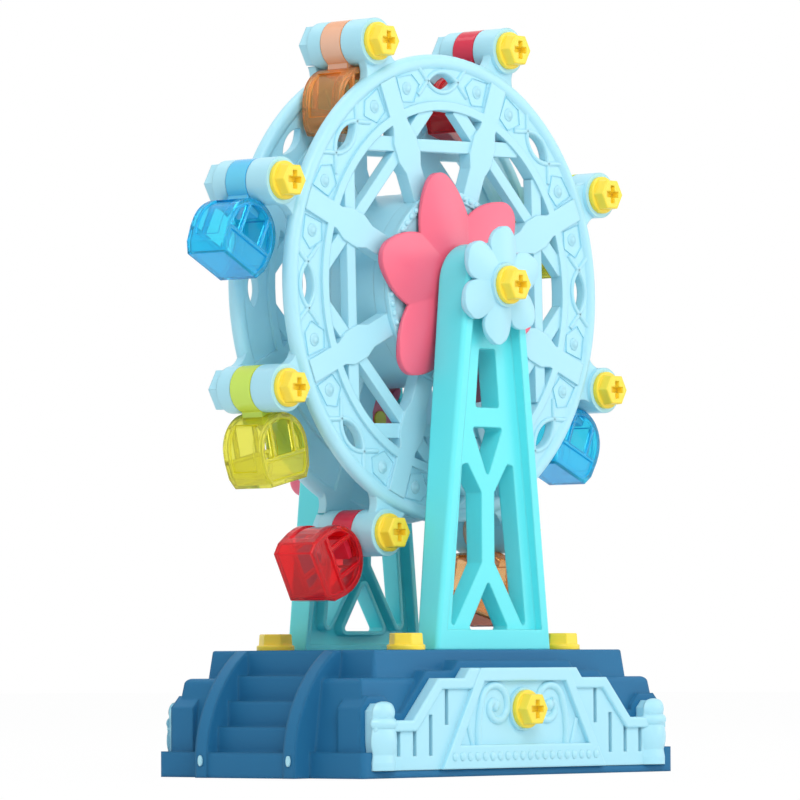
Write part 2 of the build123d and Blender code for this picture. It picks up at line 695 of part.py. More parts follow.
def tower_windows(grow):
    """The six openings of a tower, drawn on the XZ plane."""
    triangle_foot = BASE_H + FOOT_BAND
    fork = BASE_H + FORK_H
    bar = BASE_H + CROSSBAR_LOW
    window_foot = bar + CROSSBAR_H
    window_head = window_foot + WINDOW_H
    side_foot = BASE_H + SIDE_BAR
    side_head = BASE_H + SIDE_WINDOW_TOP
    half_bar = STEM_W / 2
    with BuildSketch() as windows:
        with BuildLine():
            Polyline((0, triangle_foot), (TRIANGLE_HALF, triangle_foot), (0, triangle_foot + TRIANGLE_H),
                     close=True)
        make_face()
        with BuildLine():
            Polyline((0, fork), (leg_half_width(bar, LEG_W + 8.3), bar), (0, bar), close=True)
        make_face()
        with BuildLine():
            Polyline((0, window_foot), (leg_half_width(window_foot, LEG_W + 9.5), window_foot),
                     (leg_half_width(window_head, LEG_W + 9.0), window_head), (0, window_head), close=True)
        make_face()
        with BuildLine():
            Polyline(
                (half_bar, BASE_H + STEM_LOW),
                (TRIANGLE_HALF + 8.9, BASE_H + FOOT_BAND + 1.0),
                (leg_half_width(side_foot, LEG_W + 4.6), side_foot),
                (leg_half_width(side_head, LEG_W + 3.8), side_head - 0.8),
                (12.3, side_head),
                (half_bar, BASE_H + STEM_HIGH),
                close=True,
            )
        make_face()
        mirror(about=Plane.YZ)
        fillet(windows.vertices(), radius=WINDOW_FILLET)
        if grow:
            offset(amount=grow, kind=Kind.INTERSECTION)
    return windows.sketch


WEB_FRONT = TOWER_OUT - TOWER_SUNK
WEB_REAR = WEB_FRONT - TOWER_WEB


def tower(crank_bearing):
    """Front tower. The rear one is its mirror image, with a bearing for the crank."""
    with BuildPart() as body:
        with BuildSketch(Plane.YZ.offset(-TOWER_FOOT / 2)):
            with BuildLine():
                head = AXLE_Z + TOWER_HEAD_R
                Polyline((-TOWER_FOOT_IN, BASE_H), (-TOWER_FOOT_OUT, BASE_H), (-TOWER_OUT, AXLE_Z),
                         (-TOWER_OUT, head), (-TOWER_IN, head), (-TOWER_IN, AXLE_Z), close=True)
            make_face()
        extrude(amount=TOWER_FOOT)
        with BuildSketch(front_plane(0)):
            add(tower_outline(0))
        extrude(amount=TOWER_OUT + 1, mode=Mode.INTERSECT)
        # rounded outer border
        fillet([edge for edge in body.edges()
                if edge.center().Y < -TOWER_FOOT_OUT - 0.3 and hypot(edge.center().X, edge.center().Z - AXLE_Z) > 5],
               radius=TOWER_ROUND)
        # recessed outer panel
        with BuildSketch(front_plane(-WEB_FRONT)):
            add(tower_outline(TOWER_RIM))
            with Locations((0, BASE_H)):
                Rectangle(TOWER_FOOT, 2 * FOOT_BAND, mode=Mode.SUBTRACT)
        extrude(amount=TOWER_SUNK + 1, mode=Mode.SUBTRACT)
        # open inner side, with a lip round each window
        with BuildSketch(front_plane(-WEB_REAR)):
            add(tower_outline(TOWER_WALL))
            add(tower_windows(TOWER_LIP), mode=Mode.SUBTRACT)
        extrude(amount=-TOWER_HEAD_DEEP, mode=Mode.SUBTRACT)
        with BuildSketch(front_plane(0)):
            add(tower_windows(0))
        extrude(amount=TOWER_OUT + 1, mode=Mode.SUBTRACT)
        with BuildSketch(wheel_plane(-WEB_FRONT)):
            Circle(HEAD_POCKET_D / 2)
        extrude(amount=-HEAD_POCKET_DEEP, mode=Mode.SUBTRACT)
        # axle bearing
        with BuildSketch(wheel_plane(-TOWER_IN)):
            Circle(BEARING_D / 2)
        extrude(amount=WEB_FRONT - TOWER_IN + 1.2)
        if crank_bearing:
            with BuildSketch(front_plane(-(GEAR_FRONT + GEAR_T + 2 * SIDE_GAP), CRANK_Z)):
                Circle(CRANK_BEARING_D / 2)
            extrude(amount=TOWER_OUT - (GEAR_FRONT + GEAR_T + 2 * SIDE_GAP))
            with BuildSketch(front_plane(0, CRANK_Z)):
                Circle(CRANK_SHAFT_D / 2 + RUN_GAP)
            extrude(amount=TOWER_OUT + 1, mode=Mode.SUBTRACT)
        with BuildSketch(wheel_plane(0)):
            Circle(AXLE_D / 2 + RUN_GAP)
        extrude(amount=TOWER_OUT + 1, mode=Mode.SUBTRACT)
        # solid foot with two tongues that go down through the base
        with BuildSketch(Plane.XY.offset(BASE_H - BASE_WALL - FOOT_PLATE_T)):
            with Locations((-TONGUE_AT, -TOWER_FOOT_Y), (TONGUE_AT, -TOWER_FOOT_Y)):
                Rectangle(TONGUE_L, TONGUE_T)
        extrude(amount=BASE_WALL + FOOT_PLATE_T + TOWER_WALL)
    return body.part


front_tower = tower(False)
rear_tower = tower(True).mirror(Plane.XZ)
label_and_write(front_tower, "front_tower")
label_and_write(rear_tower, "rear_tower")

FOOT_PLATE_L = 2 * TOWER_BOLT_X + FOOT_PLATE_W
PLATE_OUT = ROOM_W / 2 - SEAT_GAP
PLATE_IN = TOWER_FOOT_Y - FOOT_PLATE_W / 2
with BuildPart() as foot_plates:
    with BuildSketch(Plane.XY.offset(BASE_H - BASE_WALL)):
        with Locations((0, (PLATE_IN + PLATE_OUT) / 2), (0, -(PLATE_IN + PLATE_OUT) / 2)):
            Rectangle(FOOT_PLATE_L, PLATE_OUT - PLATE_IN)
        with GridLocations(2 * TONGUE_AT, 2 * TOWER_FOOT_Y, 2, 2):
            Rectangle(TONGUE_L + 2 * SEAT_GAP, TONGUE_T + 2 * SEAT_GAP, mode=Mode.SUBTRACT)
        with GridLocations(2 * TOWER_BOLT_X, 2 * TOWER_BOLT_Y, 2, 2):
            Circle(BOLT_SHANK_D / 2 + RUN_GAP, mode=Mode.SUBTRACT)
    extrude(amount=-FOOT_PLATE_T)
label_and_write(foot_plates.part, "foot_plates")

tower_bolt = play_bolt(BOLT_SHANK_D, BASE_WALL + FOOT_PLATE_T + 1)
with BuildPart() as tower_bolts:
    with Locations(Plane.XY.offset(BASE_H)):
        with GridLocations(2 * TOWER_BOLT_X, 2 * TOWER_BOLT_Y, 2, 2):
            add(tower_bolt)
label_and_write(tower_bolts.part, "tower_bolts")


# ------------------------------------------------------------------ wheel rims
RING_IN = RIM_R - RING_W
BAND_IN = RING_IN - BAND_W
INNER_RING_IN = BAND_IN - INNER_RING_W
SPOKE_ANGLES = [SECTOR / 2 + SECTOR * number + WHEEL_PHASE for number in range(CAR_COUNT)]
PANEL_ANGLES = [SECTOR * number + WHEEL_PHASE for number in range(CAR_COUNT)]
EYE_R = (RING_IN + BAND_IN) / 2 + 1.5


def rim_lattice():
    """Chords and braces of one panel, drawn with the panel's middle along local x."""
    with BuildSketch() as lattice:
        with Locations((CHORD_R, 0)):
            Rectangle(CHORD_W, 2 * CHORD_R * tan(radians(SECTOR / 2)))
        # each brace leans 45 degrees, from the spoke's middle to the inner ring
        outer = (INNER_RING_IN, 9.3)
        run = outer[0] + outer[1]
        spoke_r = run / (cos(radians(SECTOR / 2)) + sin(radians(SECTOR / 2)))
        inner = polar(spoke_r, SECTOR / 2)
        middle = ((outer[0] + inner[0]) / 2, (outer[1] + inner[1]) / 2)
        length = hypot(outer[0] - inner[0], outer[1] - inner[1]) + 3
        with Locations(Location((middle[0], middle[1]), 135), Location((middle[0], -middle[1]), -135)):
            Rectangle(length, BRACE_W)
    return lattice.sketch


def rim_eye():
    """Almond shaped window in the band, its middle along local x."""
    with BuildSketch() as eye:
        with BuildLine():
            ThreePointArc((EYE_R, -EYE_L / 2), (EYE_R + EYE_H / 2, 0), (EYE_R, EYE_L / 2))
            ThreePointArc((EYE_R, EYE_L / 2), (EYE_R - EYE_H / 2, 0), (EYE_R, -EYE_L / 2))
        make_face()
    return eye.sketch


def rim_neck():
    """Flared neck between the ring and a boss, along local x."""
    root = (RIM_R - 1.6, NECK_HALF + 2)
    tip = (PIVOT_R - 5.4, sqrt((BOSS_D / 2) ** 2 - 5.4 ** 2))
    waist = (RIM_R + 2.6, NECK_HALF - 0.6)
    with BuildSketch() as neck:
        with BuildLine():
            Line((RING_IN + 1, root[1]), root)
            ThreePointArc(root, waist, tip)
            Line(tip, (PIVOT_R, tip[1]))
            Line((PIVOT_R, tip[1]), (PIVOT_R, -tip[1]))
            Line((PIVOT_R, -tip[1]), (tip[0], -tip[1]))
            ThreePointArc((tip[0], -tip[1]), (waist[0], -waist[1]), (root[0], -root[1]))
            Line((root[0], -root[1]), (RING_IN + 1, -root[1]))
            Line((RING_IN + 1, -root[1]), (RING_IN + 1, root[1]))
        make_face()
    return neck.sketch


def spoke_gusset():
    """Wider stretch of a spoke where the chords and braces meet it, along local x."""
    middle = CHORD_R / cos(radians(SECTOR / 2)) - 1.5
    with BuildSketch() as gusset:
        with BuildLine():
            Polyline(
                (middle - GUSSET_L / 2, SPOKE_W / 2),
                (middle - GUSSET_FLAT / 2, GUSSET_W / 2),
                (middle + GUSSET_FLAT / 2, GUSSET_W / 2),
                (middle + GUSSET_L / 2, SPOKE_W / 2),
                (middle + GUSSET_L / 2, 0),
                (middle - GUSSET_L / 2, 0),
                close=True,
            )
        make_face()
        mirror(about=Plane.XZ)
    return gusset.sketch


def at_angles(sketch, angles):
    return [Location((0, 0, 0), (0, 0, angle)) * sketch for angle in angles]


def rim(outer_y, facing, boss_in, boss_out):
    """One rim. outer_y is its outer face and facing is -1 in front, 1 at the rear."""
    inner_y = outer_y - facing * RIM_T
    inward = facing * RIM_T
    with BuildPart() as body:
        with BuildSketch(wheel_plane(outer_y)):
            Circle(RIM_R)
            Circle(RING_IN, mode=Mode.SUBTRACT)
        extrude(amount=inward)
        fillet(body.edges().filter_by(GeomType.CIRCLE), radius=RING_ROUND)
        with BuildSketch(wheel_plane(outer_y)):
            Circle(BAND_IN)
            Circle(INNER_RING_IN, mode=Mode.SUBTRACT)
            Circle(DRUM_R)
            for angle in SPOKE_ANGLES:
                with Locations(Location(polar((RING_IN + DRUM_R) / 2, angle) + (0,), (0, 0, angle))):
                    Rectangle(RING_IN - DRUM_R + 2, SPOKE_W)
            for sketch in at_angles(spoke_gusset(), SPOKE_ANGLES):
                add(sketch)
        extrude(amount=inward)
        with BuildSketch(wheel_plane(outer_y - facing * BAR_SUNK)):
            for sketch in at_angles(rim_lattice(), PANEL_ANGLES):
                add(sketch)
        extrude(amount=facing * BAR_T)
        with BuildSketch(wheel_plane(outer_y - facing * NECK_SUNK)):
            for sketch in at_angles(rim_neck(), SPOKE_ANGLES):
                add(sketch)
        extrude(amount=facing * (RIM_T - NECK_SUNK))
        with BuildSketch(wheel_plane(outer_y - facing * BAND_SUNK)):
            Circle(RING_IN + 0.5)
            Circle(BAND_IN - 0.5, mode=Mode.SUBTRACT)
            for sketch in at_angles(rim_eye(), PANEL_ANGLES):
                add(sketch, mode=Mode.SUBTRACT)
        extrude(amount=facing * BAND_T)
        # bosses reach in to the cabins
        with BuildSketch(wheel_plane(boss_in)):
            for angle in SPOKE_ANGLES:
                with Locations(polar(PIVOT_R, angle)):
                    Circle(BOSS_D / 2)
        extrude(amount=-facing * abs(boss_out - boss_in))
        if facing > 0:
            with BuildSketch(wheel_plane(boss_out)):
                for angle in SPOKE_ANGLES:
                    with Locations(polar(PIVOT_R, angle)):
                        Circle(BOSS_D / 2 + SEAT_GAP)
            extrude(amount=-RIM_T, mode=Mode.SUBTRACT)
        with BuildSketch(wheel_plane(boss_in)):
            for angle in SPOKE_ANGLES:
                with Locations(polar(PIVOT_R, angle)):
                    Circle(BOLT_SHANK_D / 2 + RUN_GAP)
        extrude(amount=-facing * (abs(boss_out - boss_in) + 1), mode=Mode.SUBTRACT)
        # hub: recessed web with a hole for the axle
        with BuildSketch(wheel_plane(outer_y)):
            Circle(DRUM_R - HUB_RING_W)
            Circle(HUB_D / 2, mode=Mode.SUBTRACT)
        extrude(amount=facing * (RIM_T - HUB_WEB_T), mode=Mode.SUBTRACT)
        with BuildSketch(wheel_plane(outer_y)):
            Circle(AXLE_D / 2 + RUN_GAP)
        extrude(amount=inward, mode=Mode.SUBTRACT)
    return body.part


label_and_write(rim(RIM_FRONT_OUT, -1, BOSS_FRONT_IN, RIM_FRONT_OUT), "front_rim")
label_and_write(rim(RIM_REAR_OUT, 1, BOSS_REAR_IN, BOSS_REAR_OUT), "rear_rim")


# ------------------------------------------------------------------ hub, axle and flowers
with BuildPart() as hub_drum:
    with BuildSketch(wheel_plane(RIM_FRONT_IN)):
        Circle(DRUM_R)
        Circle(DRUM_R - DRUM_WALL, mode=Mode.SUBTRACT)
        Circle(HUB_D / 2)
        Circle(AXLE_D / 2 + RUN_GAP, mode=Mode.SUBTRACT)
        for number in range(CAR_COUNT // 2):
            angle = 45 * number + WHEEL_PHASE
            with Locations((0, 0, 0)):
                Rectangle(2 * DRUM_R - DRUM_WALL, DRUM_RIB, rotation=angle)
        Circle(AXLE_D / 2 + RUN_GAP, mode=Mode.SUBTRACT)
    extrude(amount=-RIM_GAP)
label_and_write(hub_drum.part, "hub_drum")

with BuildPart() as hub_cap:
    with BuildSketch(wheel_plane(RIM_FRONT_OUT)):
        Circle(DRUM_R)
    extrude(amount=CAP_T)
    with BuildSketch(wheel_plane(CAP_FACE)):
        Circle(CAP_SUNK_R)
        Circle(CAP_HUB_R, mode=Mode.SUBTRACT)
    extrude(amount=-CAP_SUNK, mode=Mode.SUBTRACT)
    with BuildSketch(wheel_plane(RIM_FRONT_OUT)):
        Circle(DRUM_R - HUB_RING_W - SEAT_GAP)
        Circle(DRUM_R - HUB_RING_W - SEAT_GAP - DRUM_WALL, mode=Mode.SUBTRACT)
    extrude(amount=-CAP_SPIGOT)
    with BuildSketch(wheel_plane(CAP_FACE)):
        Circle(AXLE_D / 2 + RUN_GAP)
    extrude(amount=-CAP_T - 1, mode=Mode.SUBTRACT)
label_and_write(hub_cap.part, "hub_cap")


def petal_outline(tip_r, notch_r, bulge_at, bulge_w, tip_w):
    """One leaf shaped petal along local x, from the flower's middle to its tip."""
    half = 180 / PETALS
    neck_at = tip_r - 0.39 * tip_w
    notch = polar(notch_r, half)
    with BuildSketch() as outline:
        with BuildLine():
            Line((0, 0), notch)
            ThreePointArc(notch, (bulge_at, bulge_w), (neck_at, tip_w))
            ThreePointArc((neck_at, tip_w), (tip_r, 0), (neck_at, -tip_w))
            ThreePointArc((neck_at, -tip_w), (bulge_at, -bulge_w), (notch[0], -notch[1]))
            Line((notch[0], -notch[1]), (0, 0))
        make_face()
    return outline.sketch


def petal(outline, tip_r, thickness, fall, crown_r):
    """A petal lying on XY: its front is part of a cylinder that falls away to the tip."""
    lean = atan2(fall, tip_r)
    with BuildPart() as body:
        with BuildSketch():
            add(outline)
        extrude(amount=thickness + 1)
        with BuildSketch(Plane(origin=(-sin(lean) * crown_r, 0, thickness - cos(lean) * crown_r), x_dir=(0, 1, 0),
                               z_dir=(cos(lean), 0, -sin(lean)))):
            Circle(crown_r)
        extrude(amount=2 * tip_r, both=True, mode=Mode.INTERSECT)
    return body.part


def flower(one_petal, turn, back_y, thickness, hub_r, collar_t):
    """Six crowned petals round the axle, on a collar behind them."""
    with BuildPart() as body:
        for number in range(PETALS):
            add(Location(wheel_plane(back_y)) * Location((0, 0, 0), (0, 0, turn + number * 360 / PETALS)) * one_petal)
        with BuildSketch(wheel_plane(back_y - thickness)):
            Circle(hub_r)
        extrude(amount=-thickness - collar_t)
        with BuildSketch(wheel_plane(back_y + collar_t)):
            Circle(AXLE_D / 2 + RUN_GAP)
        extrude(amount=thickness + collar_t + 1, mode=Mode.SUBTRACT)
    return body.part


front_petal = petal(
    petal_outline(FLOWER_R, FLOWER_NOTCH_R, FLOWER_BULGE_AT, FLOWER_BULGE_W, FLOWER_TIP_W),
    FLOWER_R, FLOWER_T, FLOWER_FALL, FLOWER_CROWN_R,
)
label_and_write(flower(front_petal, FLOWER_TURN, FLOWER_BACK, FLOWER_T, FLOWER_HUB_R, FLOWER_COLLAR_T), "front_flower")
star_petal = petal(
    petal_outline(STAR_R, STAR_NOTCH_R, STAR_BULGE_AT, STAR_BULGE_W, STAR_TIP_W),
    STAR_R, STAR_T, STAR_FALL, STAR_CROWN_R,
)
label_and_write(flower(star_petal, STAR_TURN, STAR_BACK, STAR_T, STAR_HUB_R, 0), "star_flower")

AXLE_FRONT = -STAR_FACE - 1.0
with BuildPart() as axle:
    with BuildSketch(wheel_plane(-AXLE_FRONT)):
        Circle(AXLE_D / 2)
    extrude(amount=-(AXLE_FRONT + AXLE_END))
    for end_y, inward in ((-AXLE_FRONT, -1), (AXLE_END, 1)):
        with BuildSketch(wheel_plane(end_y)):
            Circle(AXLE_SCREW_D / 2 + RUN_GAP)
        extrude(amount=inward * (AXLE_SCREW_L + 1), mode=Mode.SUBTRACT)
label_and_write(axle.part, "axle")
axle_bolt = play_bolt(AXLE_SCREW_D, AXLE_SCREW_L)
label_and_write(facing_front(0, STAR_FACE, AXLE_Z) * axle_bolt, "front_axle_bolt")
label_and_write(facing_rear(0, AXLE_END, AXLE_Z) * axle_bolt, "rear_axle_bolt")

cabin_bolt = play_bolt(BOLT_SHANK_D, NUT_OUT - RIM_FRONT_OUT - 1)
with BuildPart() as cabin_bolts:
    with Locations(*[facing_front(pivot(number)[0], RIM_FRONT_OUT, AXLE_Z + pivot(number)[1])
                     for number in range(CAR_COUNT)]):
        add(cabin_bolt)
label_and_write(cabin_bolts.part, "cabin_bolts")

with BuildPart() as cabin_nuts:
    with BuildSketch(wheel_plane(BOSS_REAR_OUT)):
        with Locations(*[pivot(number) for number in range(CAR_COUNT)]):
            RegularPolygon(NUT_AF / 2, 6, major_radius=False)
            Circle(BOLT_SHANK_D / 2 + RUN_GAP, mode=Mode.SUBTRACT)
    extrude(amount=-NUT_T)
label_and_write(cabin_nuts.part, "cabin_nuts")


# ------------------------------------------------------------------ gear pair
def involute(base_r, radius):
    """Polar angle in degrees of the involute of base_r where it reaches radius."""
    roll = sqrt(max((radius / base_r) ** 2 - 1, 0))
    return degrees(roll - atan2(roll, 1))


def gear_outline(teeth, first_angle):
    """Spur gear outline with a tooth centred on first_angle."""
    pitch_r = GEAR_MODULE * teeth / 2
    base_r = pitch_r * cos(radians(PRESSURE_ANGLE))
    tip_r = pitch_r + GEAR_MODULE * TOOTH_ADDENDUM
    root_r = pitch_r - GEAR_MODULE * TOOTH_DEDENDUM
    half_tooth = 90 / teeth - degrees(GEAR_BACKLASH / 2 / pitch_r)
    start_r = max(base_r, root_r)
    radii = [start_r + (tip_r - start_r) * step / FLANK_STEPS for step in range(FLANK_STEPS + 1)]
    flank = [(radius, half_tooth + involute(base_r, pitch_r) - involute(base_r, radius)) for radius in radii]
    flank = [(root_r, flank[0][1])] * (root_r < start_r) + flank
    points = []
    for tooth in range(teeth):
        middle = first_angle + 360 / teeth * tooth
        points += [polar(radius, middle - half) for radius, half in flank]
        points += [polar(radius, middle + half) for radius, half in reversed(flank)]
    with BuildSketch() as outline:
        with BuildLine():
            Polyline(*points, close=True)
        make_face()
    return outline.sketch


with BuildPart() as wheel_gear:
    with BuildSketch(wheel_plane(GEAR_FRONT)):
        add(gear_outline(GEAR_TEETH, -90))
    extrude(amount=-GEAR_T)
    # recess between the toothed ring and the hub
    with BuildSketch(wheel_plane(GEAR_FRONT + GEAR_WEB_T)):
        Circle(GEAR_R - 3 * GEAR_MODULE)
        Circle(GEAR_HUB_D / 2, mode=Mode.SUBTRACT)
    extrude(amount=-GEAR_T, mode=Mode.SUBTRACT)
    with BuildSketch(wheel_plane(RIM_REAR_OUT)):
        Circle(GEAR_HUB_D / 2)
    extrude(amount=-GEAR_STANDOFF)
    with BuildSketch(wheel_plane(RIM_REAR_OUT)):
        Circle(AXLE_D / 2 + RUN_GAP)
    extrude(amount=-GEAR_T - GEAR_STANDOFF, mode=Mode.SUBTRACT)
label_and_write(wheel_gear.part, "wheel_gear")

PINION_FRONT = GEAR_FRONT + 0.4
PINION_REAR = GEAR_FRONT + GEAR_T + SIDE_GAP
with BuildPart() as pinion:
    with BuildSketch(front_plane(PINION_FRONT, CRANK_Z)):
        add(gear_outline(PINION_TEETH, 90 + 180 / PINION_TEETH))
    extrude(amount=-(PINION_REAR - PINION_FRONT))
    with BuildSketch(front_plane(PINION_FRONT, CRANK_Z)):
        Circle(CRANK_SHAFT_D / 2 + RUN_GAP)
    extrude(amount=-(PINION_REAR - PINION_FRONT), mode=Mode.SUBTRACT)
label_and_write(pinion.part, "pinion")


# ------------------------------------------------------------------ crank
with BuildPart() as crank_handle:
    with BuildSketch(front_plane(CRANK_IN, CRANK_Z)):
        Circle(CRANK_HUB_D / 2)
        with Locations((0, -CRANK_R)):
            Circle(CRANK_KNOB_D / 2)
        with BuildLine():
            Polyline((-CRANK_HUB_D / 2, 0), (CRANK_HUB_D / 2, 0), (CRANK_KNOB_D / 2, -CRANK_R),
                     (-CRANK_KNOB_D / 2, -CRANK_R), close=True)
        make_face()
    extrude(amount=-CRANK_ARM_T)
    fillet(crank_handle.faces().sort_by(Axis.Y)[-1].edges(), radius=1.0)
    with BuildSketch(front_plane(CRANK_OUT - 1, CRANK_Z - CRANK_R)):
        Circle(CRANK_KNOB_D / 2 - 1.4)
    extrude(amount=-CRANK_KNOB_L - 1, taper=-2.5)
    fillet(crank_handle.faces().sort_by(Axis.Y)[-1].edges(), radius=2.5)
    with BuildSketch(front_plane(CRANK_IN, CRANK_Z)):
        Circle(CRANK_SHAFT_D / 2 + RUN_GAP)
    extrude(amount=-CRANK_ARM_T, mode=Mode.SUBTRACT)
label_and_write(crank_handle.part, "crank_handle")
crank_bolt = play_bolt(CRANK_SHAFT_D, CRANK_OUT - PINION_FRONT + 0.5)
label_and_write(facing_rear(0, CRANK_OUT, CRANK_Z) * crank_bolt, "crank_bolt")


# ------------------------------------------------------------------ cabins
def cabin_outline(inset):
    """Cabin seen from the front, its pivot at the origin, moved in by inset."""
    middle = CABIN_TOP + CABIN_R
    with BuildSketch() as outline:
        with BuildLine():
            ThreePointArc((0, -CABIN_TOP), (CABIN_R * sin(pi / 4), -middle + CABIN_R * cos(pi / 4)),
                          (CABIN_R, -middle))
            Line((CABIN_R, -middle), (CABIN_R, -middle - 3))
            Line((CABIN_R, -middle - 3), (CABIN_R - 1.0, -CABIN_TOP - CABIN_H + 4.3))
            Line((CABIN_R - 1.0, -CABIN_TOP - CABIN_H + 4.3), (CABIN_FLOOR / 2, -CABIN_TOP - CABIN_H))
            Line((CABIN_FLOOR / 2, -CABIN_TOP - CABIN_H), (0, -CABIN_TOP - CABIN_H))
            Line((0, -CABIN_TOP - CABIN_H), (0, -CABIN_TOP))
        make_face()
        mirror(about=Plane.YZ)
        if inset:
            offset(amount=-inset, kind=Kind.INTERSECTION)
    return outline.sketch


def cabin_windows():
    """Three lights under the arch, above the sill."""
    sill = -CABIN_TOP - CABIN_SILL
    with BuildSketch() as lights:
        add(cabin_outline(CABIN_ARCH_IN))
        with Locations((0, sill - CABIN_H / 2)):
            Rectangle(3 * CABIN_R, CABIN_H, mode=Mode.SUBTRACT)
        with Locations((-CABIN_BAR_X, sill), (CABIN_BAR_X, sill)):
            Rectangle(CABIN_BAR, 2 * CABIN_H, mode=Mode.SUBTRACT)
    return lights.sketch


def cabin_shell():
    """Hollow cabin hanging from the origin, its depth centred on Y=0."""
    half = CABIN_DEPTH / 2
    with BuildPart() as body:
        with BuildSketch(front_plane(half)):
            add(cabin_outline(0))
        extrude(amount=CABIN_DEPTH)
        fillet(body.faces().filter_by(Axis.Y).edges(), radius=CABIN_ROUND)
        # sunk panels: one on each side, one below the sill in front and behind
        with BuildSketch(front_plane(CABIN_SIDE_W / 2)):
            add(cabin_outline(0))
            add(cabin_outline(CABIN_PANEL_DEEP), mode=Mode.SUBTRACT)
            with Locations((0, -(CABIN_SIDE_TOP + CABIN_SIDE_FOOT) / 2)):
                Rectangle(3 * CABIN_R, CABIN_SIDE_FOOT - CABIN_SIDE_TOP, mode=Mode.INTERSECT)
        extrude(amount=CABIN_SIDE_W, mode=Mode.SUBTRACT)
        for face_y in (-half, half - CABIN_PANEL_DEEP):
            with BuildSketch(front_plane(face_y + CABIN_PANEL_DEEP)):
                add(cabin_outline(CABIN_ARCH_IN))
                with Locations((0, -CABIN_TOP - CABIN_SILL - CABIN_BAR + CABIN_H / 2)):
                    Rectangle(3 * CABIN_R, CABIN_H, mode=Mode.SUBTRACT)
            extrude(amount=CABIN_PANEL_DEEP, mode=Mode.SUBTRACT)
        with BuildSketch(front_plane(half - CABIN_WALL)):
            add(cabin_outline(CABIN_WALL))
        extrude(amount=CABIN_DEPTH - 2 * CABIN_WALL, mode=Mode.SUBTRACT)
        with BuildSketch(front_plane(half)):
            add(cabin_windows())
        extrude(amount=CABIN_DEPTH, mode=Mode.SUBTRACT)
        # slot in the roof for the hanger's tab
        with BuildSketch(Plane.XY.offset(-CABIN_TOP - CABIN_R / 2)):
            Rectangle(TAB_W + 2 * SEAT_GAP, LOOP_W + 2 * SEAT_GAP)
        extrude(amount=CABIN_R, mode=Mode.SUBTRACT)
    return body.part


def hanger():
    """Loop on the pivot with a neck and a tab through the cabin's roof."""
    with BuildPart() as body:
        with BuildSketch(front_plane(LOOP_W / 2)):
            Circle(LOOP_D / 2)
            with Locations((0, -(CABIN_TOP + CABIN_WALL + TAB_DEEP) / 2)):
                Rectangle(TAB_W, CABIN_TOP + CABIN_WALL + TAB_DEEP)
            Circle(BOLT_SHANK_D / 2 + RUN_GAP, mode=Mode.SUBTRACT)
        extrude(amount=LOOP_W)
    return body.part


CABIN_NAMES = (
    "orange_top", "red_top", "yellow_right", "blue_right", "orange_bottom", "red_bottom", "yellow_left", "blue_left",
)
CABIN_TILTS = (-3, -15, -43, -23, -15, -62, 13, -27)  # degrees from hanging straight, seen from the front
plain_cabin = cabin_shell()
plain_hanger = hanger()
for number, (name, tilt) in enumerate(zip(CABIN_NAMES, CABIN_TILTS)):
    x, z = pivot(number)
    place = Location((x, WHEEL_MID_Y, AXLE_Z + z), (0, -tilt, 0))
    label_and_write(place * plain_cabin, f"cabin_{name}")
    label_and_write(place * plain_hanger, f"hanger_{name}")
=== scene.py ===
"""Dresses the hand cranked ferris wheel toy: moulded ABS, see-through cabins, relief and rounded edges.

Everything is in metres in the model's own frame: +Z up, the axle along Y, the front towards -Y.
Relief is drawn flat in millimetres (x right, y up, z out of the face) and then stood up on its face.
"""

import json
import math

import bmesh
import bpy
from mathutils import Euler, Matrix, Vector


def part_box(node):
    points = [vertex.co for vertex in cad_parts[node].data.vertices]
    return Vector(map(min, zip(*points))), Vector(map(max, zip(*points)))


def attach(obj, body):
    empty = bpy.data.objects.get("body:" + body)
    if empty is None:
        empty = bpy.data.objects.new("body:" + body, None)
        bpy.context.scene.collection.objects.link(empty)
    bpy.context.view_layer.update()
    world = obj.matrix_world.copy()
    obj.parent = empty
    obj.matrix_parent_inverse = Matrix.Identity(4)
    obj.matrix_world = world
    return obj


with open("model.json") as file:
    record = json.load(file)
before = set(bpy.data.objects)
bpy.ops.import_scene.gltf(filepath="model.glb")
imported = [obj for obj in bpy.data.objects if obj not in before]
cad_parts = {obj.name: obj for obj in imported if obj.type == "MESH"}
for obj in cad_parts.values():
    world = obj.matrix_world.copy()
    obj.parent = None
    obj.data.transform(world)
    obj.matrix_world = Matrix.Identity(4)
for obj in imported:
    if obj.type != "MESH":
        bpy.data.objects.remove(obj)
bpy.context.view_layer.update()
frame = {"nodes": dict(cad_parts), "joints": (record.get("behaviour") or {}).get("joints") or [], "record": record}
MM = 0.001
NODES = frame["nodes"]
JOINTS = {joint["name"]: joint for joint in frame["joints"]}
AXLE_Z = JOINTS["wheel_spin"]["pos_m"][2]

# Sizes of the moulded relief, millimetres and degrees; radii are from the axle
PANELS = 8
SECTOR = 360 / PANELS
WHEEL_PHASE = 1.46
BAND_SUNK = 1.2
EYE_R, EYE_L, EYE_H = 84.1, 15.5, 6.4
RIBBON_GAP, RIBBON_R, RIBBON_FLAT = 0.15, 0.95, 0.95
TAIL_BEND, TAIL_TURN = 60, 8
FRAME_W, FRAME_H = 1.1, 0.6
FIELD_CORNERS = ((83.6, 9.8), (88.4, 12.4), (89.2, 18.4), (79.0, 18.4), (77.2, 13.4))
BUTTON_R, BUTTON_AT, BUTTON_ANGLE = 2.7, 83.4, 15.1
BUTTON_H, BUTTON_TOP_H, BUTTON_TOP_SHARE = 0.7, 1.2, 0.6
HUB_BEAD_R, HUB_BEAD_FLAT, HUB_BEAD_RING_R, HUB_BEAD_COUNT = 1.25, 0.8, 37.5, 60

